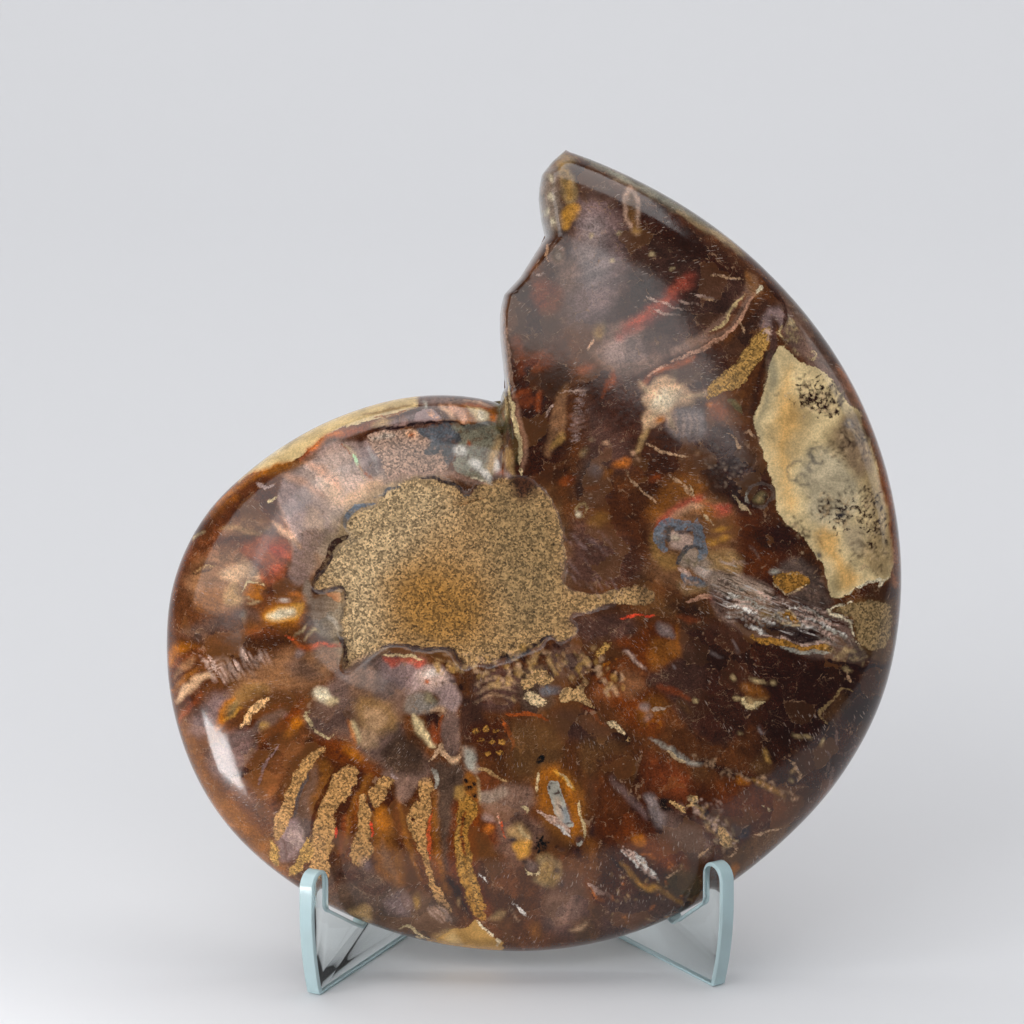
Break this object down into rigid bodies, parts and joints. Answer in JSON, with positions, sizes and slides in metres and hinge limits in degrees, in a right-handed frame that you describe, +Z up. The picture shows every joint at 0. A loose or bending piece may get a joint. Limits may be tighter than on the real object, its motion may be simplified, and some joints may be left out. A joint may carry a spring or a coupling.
{
  "type": "ammonite fossil half on display stand",
  "caption": "Polished half of an ammonite fossil with a sandy umbilicus, flat sawn back, leaning on a clear display stand of crossed plates.",
  "frame": {"origin": "on the surface the stand rests on, under the middle of the whole object", "axes": "+Z up, -Y the side that the polished face shows to the viewer, +X to the viewer's right"},
  "size_m": [0.1342, 0.0892, 0.1443],
  "materials": {
    "ammonite_half": "polished",
    "stand_left_plate": "clear",
    "stand_right_plate": "clear"
  },
  "bodies": {
    "root": {"ammonite_half": "ammonite_half", "stand_left_plate": "stand_left_plate", "stand_right_plate": "stand_right_plate"}
  },
  "joints": []
}
